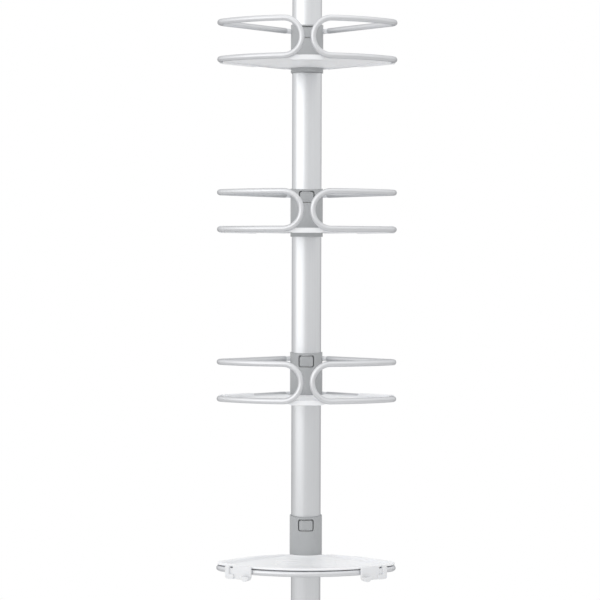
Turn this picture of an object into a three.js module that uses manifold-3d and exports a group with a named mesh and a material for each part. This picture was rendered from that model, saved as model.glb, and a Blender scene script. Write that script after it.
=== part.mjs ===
// Tension pole shelf unit for a corner: an oval telescopic pole held between floor and ceiling,
// with three basket shelves and one flat shelf that slide on it and lock with a push button.
// Millimetres. X right, Y back into the corner, Z up. The origin is the middle of the foot on the floor.
import * as THREE from "three";
import { mergeVertices } from "three/addons/utils/BufferGeometryUtils.js";
import Module from "manifold-3d";

const wasm = await Module();
wasm.setup();

// Clearances, and the overrun of every cut
const slideGap = 0.3; // between pieces that slide or snap on each other
const seatGap = 0.3; // between pieces that sit still on each other
const cutOver = 4;

// Pole: two oval tubes, one inside the other
const poleWidth = 51;
const poleDepth = 36;
const poleWall = 1.6;
const poleTop = 1560;
const upperGap = 0.7; // all round, between the lower and the upper tube
const upperWall = 1.5;
const upperLength = 1150;
const upperReach = 320; // how far it stands out of the lower tube

// Foot: a rubber pad round the flange of a plastic socket
const footFloor = 7;
const footWidth = 74;
const footDepth = 59;
const footRimWall = 2.6;
const footRimHeight = 6;
const footEdge = 1.5;
const socketFloor = 6;
const socketFlange = 8;
const socketWall = 3.2;
const socketHeight = 46;
const socketEdge = 0.8;

// Tension head: a plunger in the top of the upper tube, pushed up by a coil spring
const headNeck = 30; // how far the plunger stands bare between the tube and the cap
const headInside = 45;
const headFloor = 6;
const headWall = 3;
const capHeight = 26;
const capWidth = 70;
const capDepth = 55;
const capFloor = 7;
const capEdge = 2;
const padThickness = 8;
const padInset = 2.5;
const padEdge = 1.5;
const springRoom = 78;
const seatThickness = 9;
const postRadius = 5;
const postHeight = 12;
const tensionWire = 2.2;
const tensionRadius = 9.5;
const tensionTurns = 9;

// Glide bush at the lower end of the upper tube
const bushFlange = 7;
const bushSpigot = 18;
const bushWall = 2;

// Shelf heights, each to the middle of the shelf's bottom tube
const bottomShelfHeight = 461;
const shelfSpacing = 282.7;

// Lock collar: the lower tube ends this far above the collar's reference height
const lockOverlap = 10;

// Collar round the pole: a round sleeve, open below
const collarRadius = 28;
const collarWall = 2.2;
const collarBelow = 10.2;
const collarAbove = 73;
const collarFall = 2.6; // how far its top face falls towards the front

// Push button in the collar
const buttonHeight = 57.4; // its middle, above the bottom tube
const buttonWidth = 23.4;
const buttonTall = 17.3;
const buttonCorner = 2.5;
const buttonGap = 1.2;
const buttonBack = 23.6; // its back, in front of the pole axis
const buttonLegStart = 9;
const buttonLegBack = 20.4;
const buttonCatch = 2.7; // how far each leg's catch stands out behind the window's edge
const nubBack = 22.7;
const nubHalf = 4;
const nubTall = 2;

// Brake lever behind the button, with its pin, its ears in the collar and its spring
const pinHeight = 40;
const pinFront = 21.4;
const pinRadius = 1.25;
const leverHalf = 6.5;
const leverThick = 2;
const leverHub = 2.9;
const leverUp = 20;
const leverDown = 22;
const brakeTall = 10;
const earInner = 7.2;
const earThick = 2.4;
const earHalf = 5.5;
const earBack = 18.6;
const brakeWire = 0.5;
const brakeSpringRadius = 2.6;
const brakeTurns = 2;
const brakeSpringDrop = 16; // its axis, below the pin

// Carrier behind the pole, with a socket for each tube end
const carrierFront = 6; // where its inner crescent starts, behind the pole axis
const cheekFront = 3; // how far a socket's root reaches in front of the axis
const cheekBack = 15;
const cheekHalf = 6;
const stubRadius = 4.4;
const stubLength = 12.7;
const stubRoot = 6;
const spigotRadius = 3;
const spigotLength = 14;

// Shelf tubes
const tubeRadius = 4.75;
const tubeWall = 1;
const tubeSides = 10;
const boreSides = 6;
const stubSides = 8;
const frontRadius = 198; // front arc, about the pole axis
const tipRadius = 20;
const legAngle = Math.PI / 4; // each leg runs at half the room's corner
const legSideOut = 28; // a point that the leg's middle line goes through, at the collar's side
const legSideFront = 1;
const ringSpacing = 61.5; // bottom tube to top tube
const bendStart = 41.7; // where the front bend leaves the arc
const tipSteps = 3;
const frontSteps = 3;
const bendSteps = 8;
const rimSteps = 18;

// Trays of the baskets
const trayThick = 2.6;
const trayRimWall = 2.2;
const trayRimUp = 1.2;
const traySkirt = 4.7;
const trayBack = 13; // back edge, in front of the pole axis
const notchGap = 0.5;
const lipUp = 1.6;
const lipDown = 6.8;
const lipBack = 3.8; // its face behind the tubes' middle line
const lipHalf = 24.5;
const wingStart = 89.5;
const wingFront = 118;
const wingUp = 6;
const wingDown = 6;
const wingOut = 1.2;

// Drain slots in every tray
const slotRows = 4;
const slotFirst = 55;
const slotSpacing = 23.6;
const slotInner = 9;
const slotOuter = 52;
const slotWidth = 3.2;
const slotCorner = 1.5;

// Flat tray of the bottom shelf
const flatFloor = 4.2;
const flatThick = 2.5;
const flangeBottom = 6.4;
const flangeTop = 9.4;
const flangeInset = 0.25; // its edge, inside the tube's front
const flatSkirt = 3;
const flatBack = 17;
const flatBackUp = 7.4; // the wall along its back and round the collar

// Hook clips on the rim tube
const hookAngle = 0.576; // from the front, about the pole axis
const clipHalf = 7.5;
const clipWall = 0.9;
const clipGap = 0.5; // the snap ring runs on a curved tube
const clipUpperTurn = 1.75;
const clipLowerTurn = -2.3;
const plateThick = 3.2;
const plateTop = 9.2;
const plateBottom = 12.3;
const plateLeft = 10;
const plateRight = 15;
const plateCorner = 3;
const prongThick = 6;
const prongLeft = 24.1;
const prongWidth = 6.4;
const prongFloor = 5.2;
const prongTop = 7.4;
const tabMiddle = 17.8;
const tabRadius = 7.8;
const tabBottom = 15.4;
const tabReach = 9;
const tabLip = 2.4;

// Facets
const ovalDivisions = 12;
const ringDivisions = 5;
const cornerDivisions = 2;
const hookDivisions = 6;
const slotDivisions = 1;
const pinSides = 8;
const coilSteps = 6;
const coilSides = 4;
const weld = 1e-4;

const looks = {
  pole: { color: 0xc9cbcc, roughness: 0.34, metalness: 0.95 },
  tube: { color: 0xd4d5d5, roughness: 0.3, metalness: 0.95 },
  collar: { color: 0xa9abac, roughness: 0.55, metalness: 0 },
  white: { color: 0xeeefee, roughness: 0.4, metalness: 0 },
  rubber: { color: 0x55585a, roughness: 0.9, metalness: 0 },
  steel: { color: 0xb4b7ba, roughness: 0.35, metalness: 1 },
};

const unit = new THREE.Group();

// A closed geometry as a solid, turned so that its faces point out.
function solid(geometry) {
  const bare = geometry.clone();
  bare.deleteAttribute("normal");
  bare.deleteAttribute("uv");
  const merged = mergeVertices(bare, weld);
  const at = merged.attributes.position.array;
  const list = merged.index.array;
  const faces = [];
  for (let i = 0; i < list.length; i += 3) {
    const [a, b, c] = list.slice(i, i + 3);
    if (a !== b && b !== c && c !== a) faces.push([a, b, c]);
  }
  const point = (i) => new THREE.Vector3().fromArray(at, 3 * i);
  const volume = faces.reduce((sum, [a, b, c]) => sum + point(a).dot(point(b).cross(point(c))), 0);
  if (volume < 0) faces.forEach((face) => face.reverse());
  const mesh = new wasm.Mesh({
    numProp: 3,
    vertProperties: Float32Array.from(at),
    triVerts: Uint32Array.from(faces.flat()),
  });
  return new wasm.Manifold(mesh);
}

const join = (first, ...rest) => rest.reduce((a, b) => a.add(b), first);
const cut = (first, ...rest) => rest.reduce((a, b) => a.subtract(b), first);
const common = (first, ...rest) => rest.reduce((a, b) => a.intersect(b), first);

// Two distances to one side of the middle as a range, lower value first.
const pair = (side, near, far) => [side * near, side * far].sort((a, b) => a - b);

function geometryOf(body) {
  const mesh = body.getMesh();
  const geometry = new THREE.BufferGeometry();
  geometry.setAttribute("position", new THREE.BufferAttribute(mesh.vertProperties, 3));
  geometry.setIndex(new THREE.BufferAttribute(mesh.triVerts, 1));
  geometry.computeVertexNormals();
  return geometry;
}

function piece(name, body, look) {
  const made = new THREE.Mesh(geometryOf(body), new THREE.MeshStandardMaterial(looks[look]));
  made.name = name;
  return made;
}

function oval(width, depth) {
  return new THREE.Shape().absellipse(0, 0, width / 2, depth / 2, 0, 2 * Math.PI, false, 0);
}

// The pole's outline, grown or shrunk all round.
const poleOval = (offset) => oval(poleWidth + 2 * offset, poleDepth + 2 * offset);
const upperOval = (offset) => poleOval(offset - poleWall - upperGap);
const round = (radius) => oval(2 * radius, 2 * radius);

// A flat outline pulled up between two heights, with its edges broken.
function prism(shape, bottom, top, edge = 0, divisions = ovalDivisions) {
  const geometry = new THREE.ExtrudeGeometry(shape, {
    depth: top - bottom - 2 * edge,
    curveSegments: divisions,
    bevelEnabled: edge > 0,
    bevelThickness: edge,
    bevelSize: edge,
    bevelOffset: -edge,
    bevelSegments: 1,
  });
  return solid(geometry.translate(0, 0, bottom + edge));
}

function box(x, y, z) {
  const [sizeX, sizeY, sizeZ] = [x, y, z].map(([low, high]) => high - low);
  const geometry = new THREE.BoxGeometry(sizeX, sizeY, sizeZ);
  return solid(geometry.translate(x[0] + sizeX / 2, y[0] + sizeY / 2, z[0] + sizeZ / 2));
}

// A rod from one point towards another.
function rod(radius, from, to, sides) {
  const along = to.clone().sub(from);
  const geometry = new THREE.CylinderGeometry(radius, radius, along.length(), sides);
  const turn = new THREE.Quaternion().setFromUnitVectors(
    new THREE.Vector3(0, 1, 0),
    along.clone().normalize(),
  );
  const middle = from.clone().add(to).multiplyScalar(0.5);
  return solid(geometry.applyQuaternion(turn).translate(middle.x, middle.y, middle.z));
}

// A curve given by a formula.
class Formula extends THREE.Curve {
  constructor(at) {
    super();
    this.at = at;
  }
  getPoint(t, target = new THREE.Vector3()) {
    return target.copy(this.at(t));
  }
}

// A curve through pieces, each with its own count of steps, so that straight runs take one step.
class Route extends THREE.Curve {
  constructor(pieces) {
    super();
    this.points = [];
    this.tangents = [];
    pieces.forEach(([curve, steps], index) => {
      for (let i = index ? 1 : 0; i <= steps; i++) {
        this.points.push(curve.getPoint(i / steps));
        this.tangents.push(curve.getTangent(i / steps));
      }
    });
  }
  get steps() {
    return this.points.length - 1;
  }
  getPointAt(u, target = new THREE.Vector3()) {
    return target.copy(this.points[Math.round(u * this.steps)]);
  }
  getTangentAt(u, target = new THREE.Vector3()) {
    return target.copy(this.tangents[Math.round(u * this.steps)]);
  }
}

function ringPoints(radius, sides) {
  return Array.from({ length: sides }, (_, i) => {
    const turn = (2 * Math.PI * i) / sides;
    return new THREE.Vector2(radius * Math.cos(turn), radius * Math.sin(turn));
  });
}

// A tube along a route, hollow if it has a bore.
function tube(route, radius, sides, bore = 0) {
  const section = new THREE.Shape(ringPoints(radius, sides));
  if (bore) section.holes.push(new THREE.Path(ringPoints(bore, boreSides)));
  return solid(new THREE.ExtrudeGeometry(section, { steps: route.steps, extrudePath: route }));
}

// A coil spring's wire, standing on z = 0.
function coil(radius, wire, turns, height) {
  const climb = height - wire;
  const at = (t) => {
    const turn = 2 * Math.PI * turns * t;
    return new THREE.Vector3(radius * Math.cos(turn), radius * Math.sin(turn), wire / 2 + climb * t);
  };
  const section = new THREE.Shape(ringPoints(wire / 2, coilSides));
  const route = new Route([[new Formula(at), coilSteps * turns]]);
  return new THREE.ExtrudeGeometry(section, { steps: route.steps, extrudePath: route });
}

// Plan of a shelf tube: a leg from the collar, a tip bend, and the front arc.
const legNormal = new THREE.Vector2(Math.cos(legAngle), Math.sin(legAngle));
const legOut = new THREE.Vector2(Math.sin(legAngle), -Math.cos(legAngle));
const legSide = new THREE.Vector2(legSideOut, -legSideFront);
const legOffset = legNormal.dot(legSide);
const tipInset = legOffset - tipRadius;
const tipRun = Math.sqrt((frontRadius - tipRadius) ** 2 - tipInset ** 2);
const tipCentre = legNormal.clone().multiplyScalar(tipInset).addScaledVector(legOut, tipRun);
const tipFrom = Math.atan2(legNormal.y, legNormal.x);
const tipTo = Math.atan2(tipCentre.y, tipCentre.x);
const forward = -Math.PI / 2;
const bendTurn = Math.asin(bendStart / frontRadius);
const bendRadius = ringSpacing / 2;

const onLeg = (run) => legSide.clone().addScaledVector(legOut, run);
const onArc = (centre, radius, turn) =>
  new THREE.Vector2(centre.x + radius * Math.cos(turn), centre.y + radius * Math.sin(turn));
const axis = new THREE.Vector2(0, 0);
const spread = (from, to, t) => from + (to - from) * t;

// One stretch of tube at a height, on the right (side 1) or the left (side -1), out or back.
function stretch(plan, side, height, back) {
  return new Formula((t) => {
    const at = plan(back ? 1 - t : t);
    return new THREE.Vector3(side * at.x, at.y, height);
  });
}

const legPlan = (t) => onLeg(stubLength).lerp(onArc(tipCentre, tipRadius, tipFrom), t);
const tipPlan = (t) => onArc(tipCentre, tipRadius, spread(tipFrom, tipTo, t));
const frontPlan = (t) => onArc(axis, frontRadius, spread(tipTo, forward + bendTurn, t));
const rimPlan = (t) => onArc(axis, frontRadius, spread(tipTo, -Math.PI - tipTo, t));

// Basket guard: bottom leg and arc, a bend up at the front, then top arc and leg back to the collar.
function guardRoute(side, height) {
  const level = (z, back) => [
    [stretch(legPlan, side, z, back), 1],
    [stretch(tipPlan, side, z, back), tipSteps],
    [stretch(frontPlan, side, z, back), frontSteps],
  ];
  const bend = new Formula((t) => {
    const turn = Math.PI * t;
    const reach = (bendRadius * Math.sin(turn)) / frontRadius;
    const at = onArc(axis, frontRadius, forward + bendTurn - reach);
    return new THREE.Vector3(side * at.x, at.y, height + bendRadius * (1 - Math.cos(turn)));
  });
  return new Route([
    ...level(height, false),
    [bend, bendSteps],
    ...level(height + ringSpacing, true).reverse(),
  ]);
}

// Rim of the flat shelf: one tube from the right socket round the front to the left socket.
function rimRoute(height) {
  return new Route([
    [stretch(legPlan, 1, height, false), 1],
    [stretch(tipPlan, 1, height, false), tipSteps],
    [stretch(rimPlan, 1, height, false), rimSteps],
    [stretch(tipPlan, -1, height, true), tipSteps],
    [stretch(legPlan, -1, height, true), 1],
  ]);
}

// The area inside the shelf tube, its edge moved out from the tube's middle line.
function shelfOutline(offset) {
  const shape = new THREE.Shape();
  const legEnd = onArc(tipCentre, tipRadius + offset, tipFrom);
  shape.moveTo(0, (legOffset + offset) / legNormal.y);
  shape.lineTo(legEnd.x, legEnd.y);
  shape.absarc(tipCentre.x, tipCentre.y, tipRadius + offset, tipFrom, tipTo, true);
  shape.absarc(0, 0, frontRadius + offset, tipTo, -Math.PI - tipTo, true);
  const [mirrorFrom, mirrorTo] = [-Math.PI - tipTo, -Math.PI - tipFrom];
  shape.absarc(-tipCentre.x, tipCentre.y, tipRadius + offset, mirrorFrom, mirrorTo, true);
  shape.closePath();
  return shape;
}

const shelfPrism = (offset, bottom, top) => prism(shelfOutline(offset), bottom, top, 0, ringDivisions);
const everyX = [-frontRadius, frontRadius];
const innerOffset = -(tubeRadius + slideGap);

function roundedShape(width, height, radius) {
  const [x, y] = [width / 2, height / 2];
  const shape = new THREE.Shape();
  shape.moveTo(-x + radius, -y);
  shape.absarc(x - radius, -y + radius, radius, -Math.PI / 2, 0, false);
  shape.absarc(x - radius, y - radius, radius, 0, Math.PI / 2, false);
  shape.absarc(-x + radius, y - radius, radius, Math.PI / 2, Math.PI, false);
  shape.absarc(-x + radius, -y + radius, radius, Math.PI, 1.5 * Math.PI, false);
  shape.closePath();
  return shape;
}

// An outline drawn in X and Z, pulled back from one depth in front of the pole axis to another.
function facing(shape, height, front, back, divisions) {
  const geometry = new THREE.ExtrudeGeometry(shape, {
    depth: front - back,
    curveSegments: divisions,
    bevelEnabled: false,
  });
  return solid(geometry.rotateX(Math.PI / 2).translate(0, -back, height));
}

// An outline drawn in Y and Z, pulled along X.
function sideways(shape, from, to, divisions) {
  const geometry = new THREE.ExtrudeGeometry(shape, {
    depth: to - from,
    curveSegments: divisions,
    bevelEnabled: false,
  });
  const turn = new THREE.Matrix4().makeBasis(
    new THREE.Vector3(0, 1, 0),
    new THREE.Vector3(0, 0, 1),
    new THREE.Vector3(1, 0, 0),
  );
  return solid(geometry.applyMatrix4(turn).translate(from, 0, 0));
}

// Where a collar of the given reference height starts, and where its inside ends.
const collarFloor = (height) => height - collarBelow;
const collarCeiling = (height) => height + collarAbove - collarFall - collarWall;
const collarBore = collarRadius - collarWall;

// One socket of a carrier: a cheek in the collar's side, a stub, and a spigot for the tube.
function socket(side, height, grow) {
  const point = (run) => new THREE.Vector3(side * onLeg(run).x, onLeg(run).y, height);
  const xs = pair(side, 0, collarRadius + cutOver);
  const ys = [-cheekFront - grow, cheekBack + grow];
  const zs = [height - cheekHalf - grow, height + cheekHalf + grow];
  const sleeve = prism(round(collarRadius + grow), zs[0] - cutOver, zs[1] + cutOver);
  const cheek = common(box(xs, ys, zs), sleeve);
  const stub = rod(stubRadius + grow, point(-stubRoot), point(stubLength - seatGap), stubSides);
  if (grow) return join(cheek, stub);
  const spigot = rod(spigotRadius, point(0), point(stubLength + spigotLength), stubSides);
  return join(cheek, stub, spigot);
}

function carrier(height, levels) {
  const [bottom, top] = [collarFloor(height), collarCeiling(height) - seatGap];
  const back = [carrierFront, collarRadius];
  const inside = prism(round(collarBore - seatGap), bottom, top);
  const crescent = common(inside, box(everyX, back, [bottom, top]));
  const sockets = levels.flatMap((level) => [-1, 1].map((side) => socket(side, height + level, 0)));
  const pole = prism(poleOval(slideGap), bottom - cutOver, top + cutOver);
  return cut(join(crescent, ...sockets), pole);
}

// Sleeve with a hollow for the carrier and the brake, a button window and the ears of the lever's pin.
function collar(height, levels, gripOval) {
  const [bottom, top] = [collarFloor(height), height + collarAbove];
  const sleeve = prism(round(collarRadius), bottom, top);
  const hollow = prism(round(collarBore), bottom - cutOver, collarCeiling(height));
  const pole = prism(gripOval(slideGap), bottom - cutOver, top + cutOver);
  const reach = collarRadius + cutOver;
  const slope = new THREE.Shape();
  slope.moveTo(0, top);
  slope.lineTo(-reach, top - (collarFall * reach) / collarRadius);
  slope.lineTo(-reach, top + cutOver);
  slope.lineTo(0, top + cutOver);
  slope.closePath();
  const window = roundedShape(
    buttonWidth + 2 * buttonGap,
    buttonTall + 2 * buttonGap,
    buttonCorner + buttonGap,
  );
  const opening = facing(window, height + buttonHeight, reach, buttonLegBack, cornerDivisions);
  const sockets = levels.flatMap((level) => [-1, 1].map((side) => socket(side, height + level, seatGap)));
  const shell = cut(sleeve, hollow, pole, sideways(slope, -reach, reach), opening, ...sockets);
  const earHeight = height + pinHeight;
  const bore = prism(round(collarRadius - collarWall / 2), bottom, top);
  const ears = [-1, 1].map((side) => {
    const xs = pair(side, earInner, earInner + earThick);
    return common(box(xs, [-collarRadius, -earBack], [earHeight - earHalf, earHeight + earHalf]), bore);
  });
  return cut(join(shell, ...ears), pinRod(height, pinRadius + seatGap, cutOver));
}

function pinRod(height, radius, extra) {
  const reach = earInner + earThick - seatGap + extra;
  const at = (x) => new THREE.Vector3(x, -pinFront, height + pinHeight);
  return rod(radius, at(-reach), at(reach), pinSides);
}

function button(height) {
  const middle = height + buttonHeight;
  const zs = [middle - buttonTall / 2, middle + buttonTall / 2];
  const face = facing(
    roundedShape(buttonWidth, buttonTall, buttonCorner),
    middle,
    collarRadius,
    buttonBack,
    cornerDivisions,
  );
  const shaped = common(face, prism(round(collarRadius), zs[0] - cutOver, zs[1] + cutOver));
  const inner = prism(round(collarBore - slideGap), zs[0] - cutOver, zs[1] + cutOver);
  const bore = prism(round(collarBore), zs[0] - cutOver, zs[1] + cutOver);
  const legZs = [zs[0] + buttonCorner, zs[1] - buttonCorner];
  const legYs = [-collarRadius, -buttonLegBack];
  const edge = buttonWidth / 2;
  const legs = [-1, 1].map((side) => {
    const leg = box(pair(side, buttonLegStart, edge), legYs, legZs);
    const hook = box(pair(side, buttonLegStart, edge + buttonCatch), legYs, legZs);
    return join(common(leg, bore), common(hook, inner));
  });
  const nubZs = [middle - nubTall / 2, middle + nubTall / 2];
  const nub = box([-nubHalf, nubHalf], [-collarBore, -nubBack], nubZs);
  return join(shaped, ...legs, nub);
}

// Rocking lever: pressing its top end lifts the brake face at its lower end off the pole.
function lever(height, gripOval) {
  const middle = height + pinHeight;
  const [low, high] = [middle - leverDown, middle + leverUp];
  const across = [-leverHalf, leverHalf];
  const plate = box(across, [-pinFront - leverThick / 2, -pinFront + leverThick / 2], [low, high]);
  const hubEnd = (x) => new THREE.Vector3(x, -pinFront, middle);
  const hub = rod(leverHub, hubEnd(-leverHalf), hubEnd(leverHalf), pinSides);
  const brake = box(across, [-pinFront, 0], [low, low + brakeTall]);
  const pole = prism(gripOval(slideGap), low - cutOver, high + cutOver);
  return cut(join(plate, hub, brake), pole, pinRod(height, pinRadius + slideGap, cutOver));
}

function brakeSpring(height) {
  const room = collarBore - pinFront - leverThick / 2 - 2 * seatGap;
  const geometry = coil(brakeSpringRadius, brakeWire, brakeTurns, room);
  geometry.rotateX(-Math.PI / 2);
  return solid(geometry.translate(0, -collarBore + seatGap, height + pinHeight - brakeSpringDrop));
}

// Everything that grips the pole in one collar.
function gripPieces(names, height, gripOval) {
  return [
    piece(names.button, button(height), "collar"),
    piece(names.lever, lever(height, gripOval), "white"),
    piece(names.pin, pinRod(height, pinRadius, 0), "steel"),
    piece(names.spring, brakeSpring(height), "steel"),
  ];
}

function drainSlots(bottom, top) {
  const length = slotOuter - slotInner;
  return Array.from({ length: slotRows }, (_, row) => row).flatMap((row) =>
    [-1, 1].map((side) => {
      const shape = roundedShape(length, slotWidth, slotCorner);
      const slot = new THREE.ExtrudeGeometry(shape, {
        depth: top - bottom + 2 * cutOver,
        curveSegments: slotDivisions,
        bevelEnabled: false,
      });
      const middle = side * (slotInner + length / 2);
      return solid(slot.translate(middle, -slotFirst - row * slotSpacing, bottom - cutOver));
    }),
  );
}

// Tray of a basket: a floor with a rim inside the tubes, a lip between the front bends,
// and a wing on each side that wraps the leg near its tip.
function basketTray(height) {
  const rimInside = innerOffset - trayRimWall;
  const floor = shelfPrism(innerOffset, height - trayThick, height);
  const rim = cut(
    shelfPrism(innerOffset, height - traySkirt, height + trayRimUp),
    shelfPrism(rimInside, height - traySkirt - cutOver, height + trayRimUp + cutOver),
  );
  const lipTurn = Math.asin(lipHalf / frontRadius);
  const lipShape = new THREE.Shape();
  lipShape.absarc(0, 0, frontRadius - lipBack, forward - lipTurn, forward + lipTurn, false);
  lipShape.absarc(0, 0, frontRadius + rimInside, forward + lipTurn, forward - lipTurn, true);
  const lip = prism(lipShape, height - lipDown, height + lipUp, 0, ringDivisions);
  const [wingLow, wingHigh] = [height - wingDown, height + wingUp];
  const band = cut(
    shelfPrism(tubeRadius + wingOut, wingLow, wingHigh),
    shelfPrism(rimInside, wingLow - cutOver, wingHigh + cutOver),
  );
  const wings = [-1, 1].map((side) => {
    const xs = pair(side, wingStart, frontRadius);
    return common(band, box(xs, [-wingFront, 0], [wingLow - cutOver, wingHigh + cutOver]));
  });
  const tubes = [-1, 1].map((side) => tube(guardRoute(side, height), tubeRadius + slideGap, tubeSides));
  const [low, high] = [wingLow - cutOver, wingHigh + cutOver];
  const back = box(everyX, [-trayBack, frontRadius], [low, high]);
  const notch = prism(round(collarRadius + notchGap), low, high);
  const slots = drainSlots(height - trayThick, height);
  return cut(join(floor, rim, lip, ...wings), ...tubes, back, notch, ...slots);
}

// Tray of the bottom shelf: a sunk floor, and a flange that lies over the rim tube.
function flatTray(height) {
  const [under, over] = [height - flatSkirt, height + flangeTop];
  const rimInside = innerOffset - trayRimWall;
  const floor = shelfPrism(innerOffset, height + flatFloor - flatThick, height + flatFloor);
  const hollow = shelfPrism(rimInside, under - cutOver, over + cutOver);
  const wall = cut(shelfPrism(innerOffset, under, over), hollow);
  const flange = cut(shelfPrism(tubeRadius - flangeInset, height + flangeBottom, over), hollow);
  const whole = shelfPrism(innerOffset, height + flatFloor - flatThick, over);
  const backTop = height + flatBackUp;
  const backEdge = box(everyX, [-flatBack - trayRimWall, -flatBack], [under, backTop]);
  const notchWall = prism(round(collarRadius + notchGap + trayRimWall), under, backTop);
  const edges = common(join(backEdge, notchWall), whole);
  const [low, high] = [under - cutOver, over + cutOver];
  const back = box(everyX, [-flatBack, frontRadius], [low, high]);
  const notch = prism(round(collarRadius + notchGap), low, high);
  const slots = drainSlots(height + flatFloor - flatThick, height + flatFloor);
  const rim = tube(rimRoute(height), tubeRadius + slideGap, tubeSides);
  return cut(join(floor, wall, flange, edges), rim, back, notch, ...slots);
}

// Hook clip: a snap ring round the rim tube, and in front of it a plate with a forked prong at its
// outer end and a round hook at its inner end. It is drawn at the front for the left side.
function hookClip(height, side) {
  const grip = tubeRadius + clipGap;
  const face = frontRadius + grip;
  const outward = (v, z) => [-frontRadius - v, height + z];
  const snap = new THREE.Shape();
  const [cy, cz] = outward(0, 0);
  const turned = (turn) => Math.PI - turn;
  snap.absarc(cy, cz, grip + clipWall, turned(clipLowerTurn), turned(clipUpperTurn), true);
  snap.absarc(cy, cz, grip, turned(clipUpperTurn), turned(clipLowerTurn), false);
  const ring = sideways(snap, -clipHalf, clipHalf, hookDivisions);
  const plateShape = new THREE.Shape();
  plateShape.moveTo(-plateLeft, plateTop);
  plateShape.lineTo(-plateLeft, -plateBottom);
  plateShape.absarc(plateRight - plateCorner, plateCorner - plateBottom, plateCorner, forward, 0, false);
  plateShape.lineTo(plateRight, plateTop);
  plateShape.closePath();
  const plate = facing(plateShape, height, face + plateThick, face, hookDivisions);
  const forkShape = new THREE.Shape();
  forkShape.moveTo(-plateLeft + plateCorner, -plateBottom);
  forkShape.lineTo(-plateLeft + plateCorner, -prongFloor);
  forkShape.lineTo(-plateLeft, -prongFloor);
  forkShape.lineTo(prongWidth - prongLeft, -prongFloor);
  forkShape.lineTo(prongWidth - prongLeft, prongTop);
  forkShape.lineTo(-prongLeft, prongTop);
  const prongBend = [plateCorner - prongLeft, plateCorner - plateBottom];
  forkShape.absarc(...prongBend, plateCorner, Math.PI, 2 * Math.PI + forward, false);
  forkShape.closePath();
  const fork = facing(forkShape, height, face + prongThick, face, hookDivisions);
  const tabCentre = [tabMiddle, tabRadius - tabBottom];
  const tabShape = new THREE.Shape();
  tabShape.moveTo(tabMiddle - tabRadius, plateTop);
  tabShape.lineTo(tabMiddle - tabRadius, tabRadius - tabBottom);
  tabShape.absarc(...tabCentre, tabRadius, Math.PI, 2 * Math.PI, false);
  tabShape.lineTo(tabMiddle + tabRadius, plateTop);
  tabShape.closePath();
  const tab = facing(tabShape, height, face + plateThick, face, hookDivisions);
  const lipFront = face + tabReach + tabLip;
  const troughShape = new THREE.Shape();
  troughShape.absarc(...tabCentre, tabRadius, Math.PI, 2 * Math.PI, false);
  troughShape.absarc(...tabCentre, tabRadius - tabLip, 2 * Math.PI, Math.PI, true);
  troughShape.closePath();
  const trough = facing(troughShape, height, lipFront, face, hookDivisions);
  const lipShape = new THREE.Shape();
  lipShape.absarc(...tabCentre, tabRadius, Math.PI, 2 * Math.PI, false);
  lipShape.closePath();
  const lip = facing(lipShape, height, lipFront, face + tabReach, hookDivisions);
  const drawn = geometryOf(join(ring, plate, fork, tab, trough, lip));
  drawn.scale(-side, 1, 1).rotateZ(side * hookAngle);
  return solid(drawn);
}

// Foot and lower tube
const footTop = footFloor + seatGap;
const poleStart = footTop + socketFloor + seatGap;
const flangeGrow = -footRimWall - seatGap;

function footPad() {
  const outer = prism(oval(footWidth, footDepth), 0, footFloor + footRimHeight, footEdge);
  const pocket = oval(footWidth - 2 * footRimWall, footDepth - 2 * footRimWall);
  return cut(outer, prism(pocket, footFloor, footFloor + footRimHeight + cutOver));
}

function footSocket() {
  const flangeOval = oval(footWidth + 2 * flangeGrow, footDepth + 2 * flangeGrow);
  const flange = prism(flangeOval, footTop, footTop + socketFlange, socketEdge);
  const body = prism(poleOval(seatGap + socketWall), footTop, footTop + socketHeight);
  const pocket = prism(poleOval(seatGap), footTop + socketFloor, footTop + socketHeight + cutOver);
  return cut(join(flange, body), pocket);
}

function ovalTube(grown, wall, bottom, top) {
  return cut(prism(grown(0), bottom, top), prism(grown(-wall), bottom - cutOver, top + cutOver));
}

// Lock collar: its liner sits on the lower tube's top edge and guides the upper tube.
const lockHeight = poleTop - lockOverlap;

function lockLiner() {
  const [bottom, top] = [collarFloor(lockHeight), collarCeiling(lockHeight) - seatGap];
  const crescent = common(
    prism(round(collarBore - seatGap), bottom, top),
    box(everyX, [0, collarRadius], [bottom, top]),
  );
  const lower = prism(poleOval(seatGap), bottom - cutOver, poleTop + seatGap);
  return cut(crescent, lower, prism(upperOval(slideGap), bottom, top + cutOver));
}

// Upper tube and tension head
const upperTop = poleTop + upperReach;
const upperBottom = upperTop - upperLength;
const headBottom = upperTop - headInside;
const capBottom = upperTop + headNeck;
const headTop = capBottom + capHeight - capFloor - seatGap;
const seatTop = headBottom - springRoom;
const plugOval = (offset) => upperOval(offset - upperWall - slideGap);

function glideBush() {
  const flangeTopZ = upperBottom - seatGap;
  const flange = prism(poleOval(-poleWall - slideGap), flangeTopZ - bushFlange, flangeTopZ);
  const spigot = prism(plugOval(0), flangeTopZ - bushFlange, upperBottom + bushSpigot);
  const through = [flangeTopZ - bushFlange - cutOver, upperBottom + bushSpigot + cutOver];
  return cut(join(flange, spigot), prism(plugOval(-bushWall), ...through));
}

function springSeat() {
  const bottom = seatTop - seatThickness;
  const plug = prism(plugOval(0), bottom, seatTop);
  return join(plug, prism(round(postRadius), bottom, seatTop + postHeight, 0, ringDivisions));
}

function plunger() {
  const outer = prism(plugOval(0), headBottom, headTop);
  const hollow = prism(plugOval(-headWall), headBottom + headFloor, headTop + cutOver);
  const post = prism(round(postRadius), headBottom - postHeight, headBottom + headFloor, 0, ringDivisions);
  return join(cut(outer, hollow), post);
}

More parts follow.
